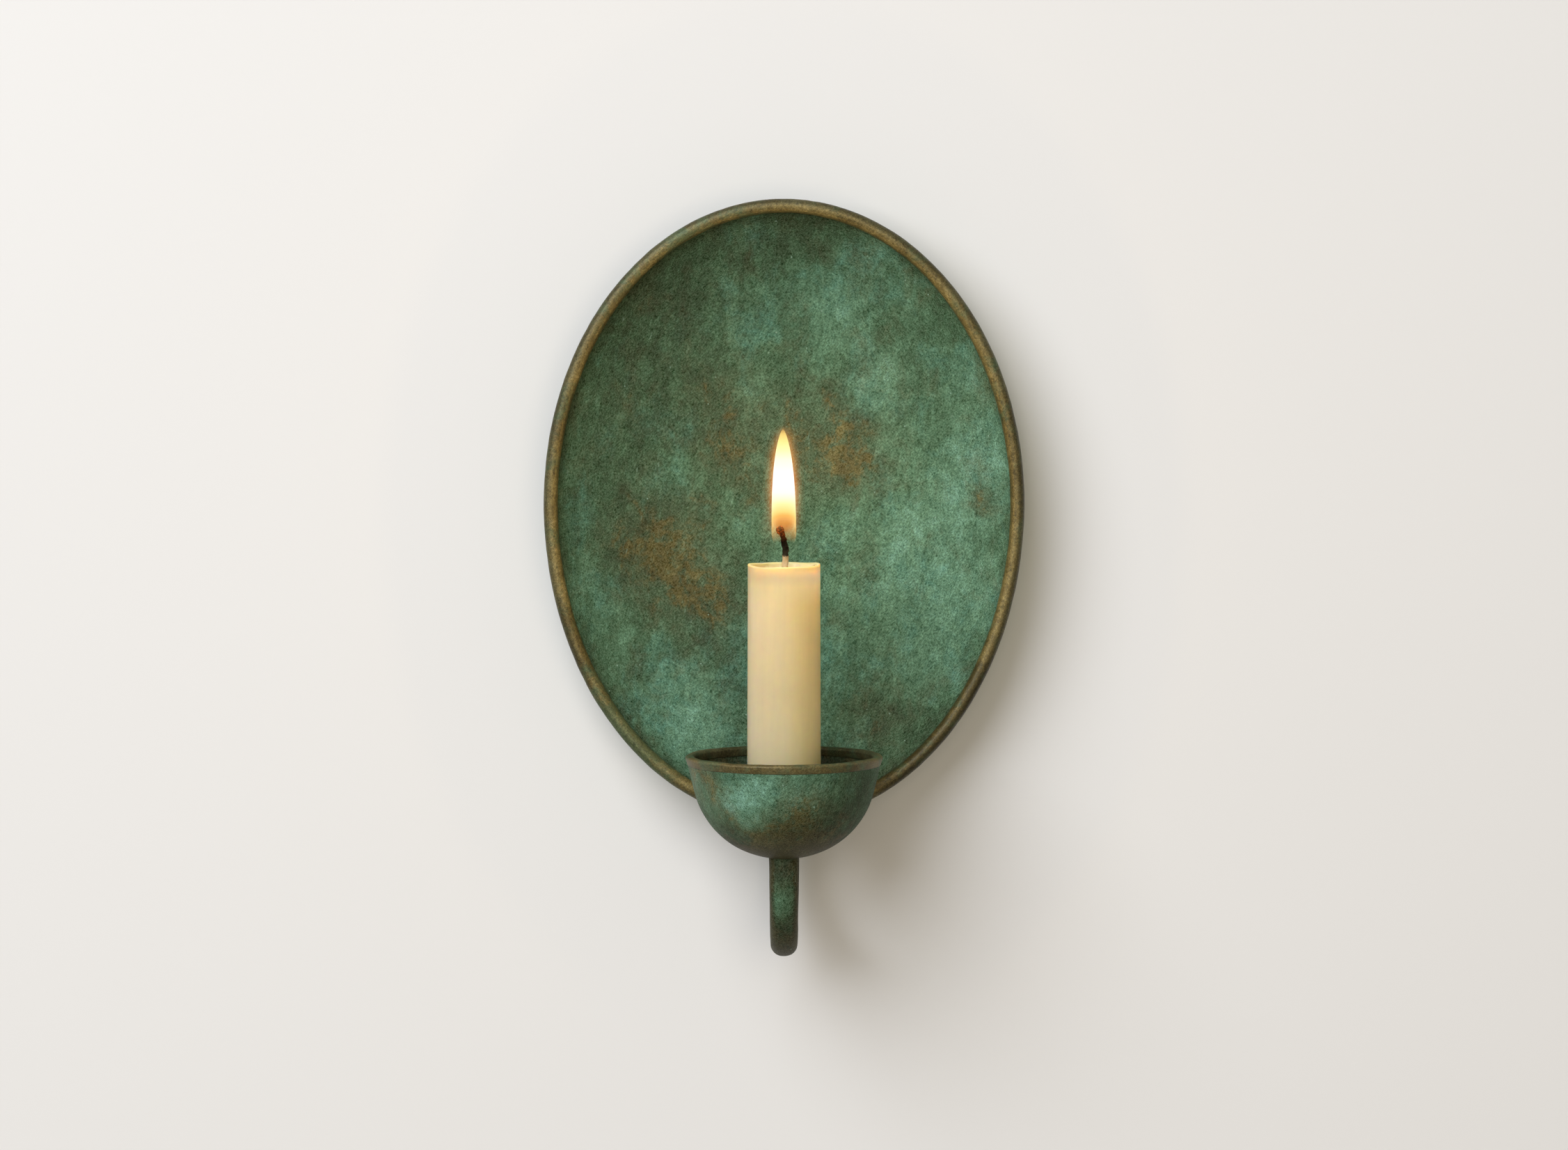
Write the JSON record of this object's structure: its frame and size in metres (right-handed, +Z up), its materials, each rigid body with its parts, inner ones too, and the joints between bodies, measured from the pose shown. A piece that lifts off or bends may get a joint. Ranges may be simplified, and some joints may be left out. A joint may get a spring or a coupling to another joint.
{
  "type": "wall sconce candle holder",
  "caption": "Wall sconce: an oval dished reflector behind a stub candle, which stands in a round cup on a J-shaped arm.",
  "frame": {"origin": "on the wall plane, at the back of the wall strap, midway between its two keyholes and level with the widest line of the reflector", "axes": "+Z up, +Y into the wall, so the reflector, cup and candle stand out towards -Y"},
  "size_m": [0.1648, 0.1015, 0.2586],
  "materials": {
    "verdigris_bronze": "matte green patina over brown bronze",
    "worn_bronze": "rubbed brown bronze on the rims",
    "dark_bronze": "dull brown bronze inside the cup",
    "black_iron": "blackened, satin",
    "screw_brass": "aged brass",
    "wax": "ivory candle wax, slightly translucent",
    "wick": "burnt cotton braid",
    "flame": "candle flame, shown in the visual model only"
  },
  "bodies": {
    "sconce": {"reflector_dish": "verdigris_bronze", "reflector_rim": "worn_bronze", "wall_strap": "black_iron", "dish_boss_upper": "dark_bronze", "dish_boss_lower": "dark_bronze", "dish_screw_upper": "screw_brass", "dish_screw_lower": "screw_brass", "arm": "verdigris_bronze", "arm_screw_upper": "screw_brass", "arm_screw_lower": "screw_brass", "candle_cup": "verdigris_bronze", "cup_rim_ring": "worn_bronze", "candle_socket": "dark_bronze", "cup_washer": "screw_brass", "cup_screw": "screw_brass"},
    "candle": {"candle": "wax", "wick": "wick"}
  },
  "joints": [
    {"name": "candle_lift", "type": "slide", "parent": "sconce", "child": "candle", "axis": [0, 0, 1], "range_m": [0, 0.04]}
  ]
}
